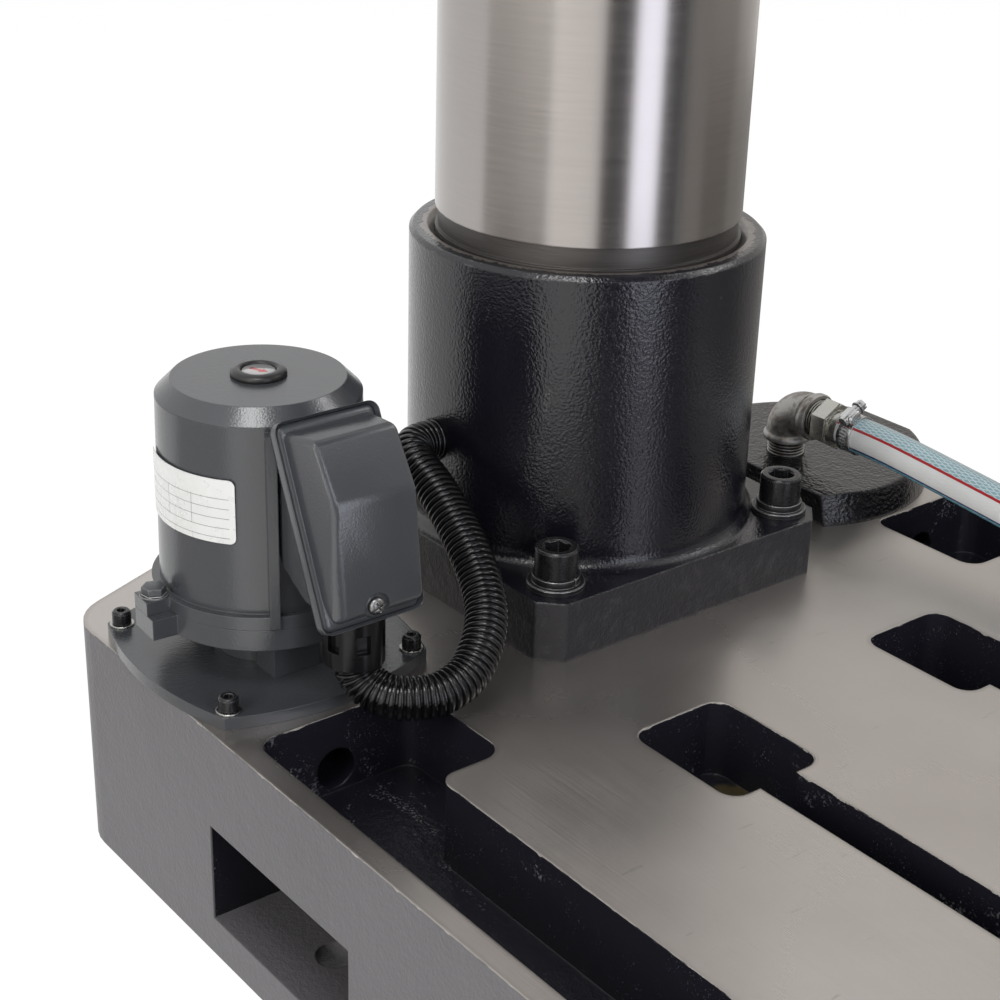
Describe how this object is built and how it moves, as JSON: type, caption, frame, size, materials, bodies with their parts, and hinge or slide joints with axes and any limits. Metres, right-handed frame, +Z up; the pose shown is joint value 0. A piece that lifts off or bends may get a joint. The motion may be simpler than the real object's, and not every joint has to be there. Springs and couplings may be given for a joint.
{
  "type": "pillar drill",
  "caption": "Floor-standing geared pillar drill with a T-slotted base, ground column, lift table, geared head and a coolant pump wired and piped at the column's foot.",
  "frame": {"origin": "on the floor, on the column's axis", "axes": "+Z up along the column, -Y to the front where the operator stands, +X to the operator's right"},
  "size_m": [0.5642, 0.7143, 1.946],
  "materials": {
    "base_paint": "orange-peel paint with machined top",
    "dark_paint": "semi-gloss",
    "ground_steel": "ground",
    "dark_steel": "black oxide",
    "zinc_steel": "bright zinc",
    "galvanised": "galvanised",
    "gear_steel": "oiled",
    "pump_paint": "semi-gloss",
    "black_gloss": "gloss",
    "black_matte": "matte",
    "clear_disc": "clear",
    "braided_hose": "braided under clear skin",
    "stator": "wound laminations",
    "riser": "matte",
    "bracket_paint": "semi-gloss",
    "table_iron": "machined",
    "head_paint": "semi-gloss",
    "panel_paint": "satin",
    "green_cap": "gloss",
    "red_cap": "gloss",
    "guard_clear": "clear",
    "nozzle_orange": "satin"
  },
  "bodies": {
    "machine": {"base_casting": "base_paint", "column_socket": "dark_paint", "column": "ground_steel", "flange_bolts": "dark_steel", "flange_washers": "dark_steel", "rack": "gear_steel", "rack_screws": "dark_steel", "return_plate": "dark_paint", "return_elbow": "galvanised", "hose_tail": "zinc_steel", "hose_clamp": "zinc_steel", "drain_hose": "braided_hose", "pump_flange": "pump_paint", "pump_bolts": "dark_steel", "pump_washers": "zinc_steel", "pump_bracket": "pump_paint", "pump_shell": "pump_paint", "pump_cap": "pump_paint", "cap_grommet": "black_matte", "sight_disc": "clear_disc", "lug_screws": "zinc_steel", "pump_stator": "stator", "terminal_box": "pump_paint", "terminal_lid": "pump_paint", "lid_screw": "zinc_steel", "conduit_gland": "black_matte", "conduit": "black_gloss", "coolant_riser": "riser", "head_casting": "head_paint", "head_cover": "head_paint", "motor_body": "pump_paint", "fan_cover": "dark_paint", "spring_housing": "bracket_paint", "control_panel": "panel_paint", "coolant_nozzle": "nozzle_orange"},
    "pump_rotor_body": {"pump_rotor": "gear_steel"},
    "bracket_body": {"table_bracket": "bracket_paint", "drain_fitting": "galvanised"},
    "crank_body": {"crank": "gear_steel"},
    "grip_body": {"crank_grip": "black_gloss"},
    "table_body": {"work_table": "table_iron"},
    "column_lock_body": {"column_lock": "black_gloss"},
    "table_lock_body": {"table_lock": "black_gloss"},
    "quill_body": {"quill": "ground_steel", "quill_bearings": "gear_steel"},
    "spindle_body": {"spindle": "ground_steel"},
    "spindle_gear_body": {"spindle_gear": "gear_steel"},
    "lay_body": {"lay_gears": "gear_steel"},
    "motor_rotor_body": {"motor_rotor": "gear_steel"},
    "feed_body": {"feed_hub": "gear_steel", "feed_levers": "ground_steel", "feed_knobs": "black_gloss", "depth_dial": "ground_steel"},
    "speed_lever_body": {"speed_lever": "black_gloss"},
    "range_lever_body": {"range_lever": "black_gloss"},
    "start_body": {"start_button": "green_cap"},
    "stop_body": {"stop_button": "red_cap"},
    "estop_body": {"emergency_stop": "red_cap"},
    "coolant_switch_body": {"coolant_switch": "black_gloss"},
    "guard_body": {"chuck_guard": "guard_clear"}
  },
  "joints": [
    {"name": "table_lift", "type": "slide", "parent": "machine", "child": "bracket_body", "axis": [0, 0, 1], "range_m": [-0.25, 0.2], "deforming": ["drain_hose"]},
    {"name": "crank_turn", "type": "hinge", "parent": "bracket_body", "child": "crank_body", "pos_m": [0, 0.1153, 0.722], "axis": [1, 0, 0], "range_deg": [-531, 425]},
    {"name": "crank_grip_spin", "type": "hinge", "parent": "crank_body", "child": "grip_body", "pos_m": [0.165, 0.1153, 0.852], "axis": [1, 0, 0], "continuous": true},
    {"name": "table_swivel", "type": "hinge", "parent": "bracket_body", "child": "table_body", "pos_m": [0, -0.3, 0.81], "axis": [0, 0, 1], "continuous": true},
    {"name": "column_lock_turn", "type": "hinge", "parent": "bracket_body", "child": "column_lock_body", "pos_m": [-0.115, -0.0223, 0.722], "axis": [0, -1, 0], "range_deg": [0, 90]},
    {"name": "table_lock_turn", "type": "hinge", "parent": "bracket_body", "child": "table_lock_body", "pos_m": [0, -0.3593, 0.77], "axis": [0, -1, 0], "range_deg": [0, 80]},
    {"name": "quill_feed", "type": "slide", "parent": "machine", "child": "quill_body", "axis": [0, 0, -1], "range_m": [0, 0.16], "stiffness_N_per_m": 800, "springref_m": -0.22},
    {"name": "feed_turn", "type": "hinge", "parent": "machine", "child": "feed_body", "pos_m": [0.2, -0.2282, 1.4], "axis": [1, 0, 0], "range_deg": [0, 306]},
    {"name": "spindle_gear_spin", "type": "hinge", "parent": "machine", "child": "spindle_gear_body", "pos_m": [0, -0.3, 1.62], "axis": [0, 0, -1], "continuous": true},
    {"name": "spindle_spin", "type": "hinge", "parent": "quill_body", "child": "spindle_body", "pos_m": [0, -0.3, 1.4], "axis": [0, 0, -1], "continuous": true},
    {"name": "lay_spin", "type": "hinge", "parent": "machine", "child": "lay_body", "pos_m": [0.07955, -0.22045, 1.62], "axis": [0, 0, -1], "continuous": true},
    {"name": "motor_spin", "type": "hinge", "parent": "machine", "child": "motor_rotor_body", "pos_m": [0, -0.17836, 1.7], "axis": [0, 0, -1], "continuous": true},
    {"name": "speed_lever_turn", "type": "hinge", "parent": "machine", "child": "speed_lever_body", "pos_m": [-0.095, -0.4, 1.63], "axis": [0, -1, 0], "range_deg": [-30, 30]},
    {"name": "range_lever_turn", "type": "hinge", "parent": "machine", "child": "range_lever_body", "pos_m": [0.095, -0.4, 1.63], "axis": [0, -1, 0], "range_deg": [-30, 30]},
    {"name": "start_press", "type": "slide", "parent": "machine", "child": "start_body", "axis": [0, 1, 0], "range_m": [0, 0.004], "stiffness_N_per_m": 600, "springref_m": -0.001},
    {"name": "stop_press", "type": "slide", "parent": "machine", "child": "stop_body", "axis": [0, 1, 0], "range_m": [0, 0.004], "stiffness_N_per_m": 600, "springref_m": -0.001},
    {"name": "estop_press", "type": "slide", "parent": "machine", "child": "estop_body", "axis": [0, 1, 0], "range_m": [0, 0.005], "stiffness_N_per_m": 900, "springref_m": -0.001},
    {"name": "coolant_turn", "type": "hinge", "parent": "machine", "child": "coolant_switch_body", "pos_m": [0.02, -0.434, 1.41], "axis": [0, -1, 0], "range_deg": [0, 60]},
    {"name": "guard_swing", "type": "hinge", "parent": "machine", "child": "guard_body", "pos_m": [-0.11, -0.32, 1.32], "axis": [0, 0, -1], "range_deg": [0, 100]},
    {"name": "pump_spin", "type": "hinge", "parent": "machine", "child": "pump_rotor_body", "pos_m": [-0.19, -0.002, 0.18], "axis": [0, 0, 1], "continuous": true}
  ],
  "couplings": [
    {"joint": "crank_turn", "follows": "table_lift", "rad_per_m": 37.037},
    {"joint": "feed_turn", "follows": "quill_feed", "rad_per_m": 33.333},
    {"joint": "spindle_spin", "follows": "spindle_gear_spin", "ratio": 1},
    {"joint": "lay_spin", "follows": "spindle_gear_spin", "ratio": -2},
    {"joint": "motor_spin", "follows": "spindle_gear_spin", "ratio": 4}
  ]
}
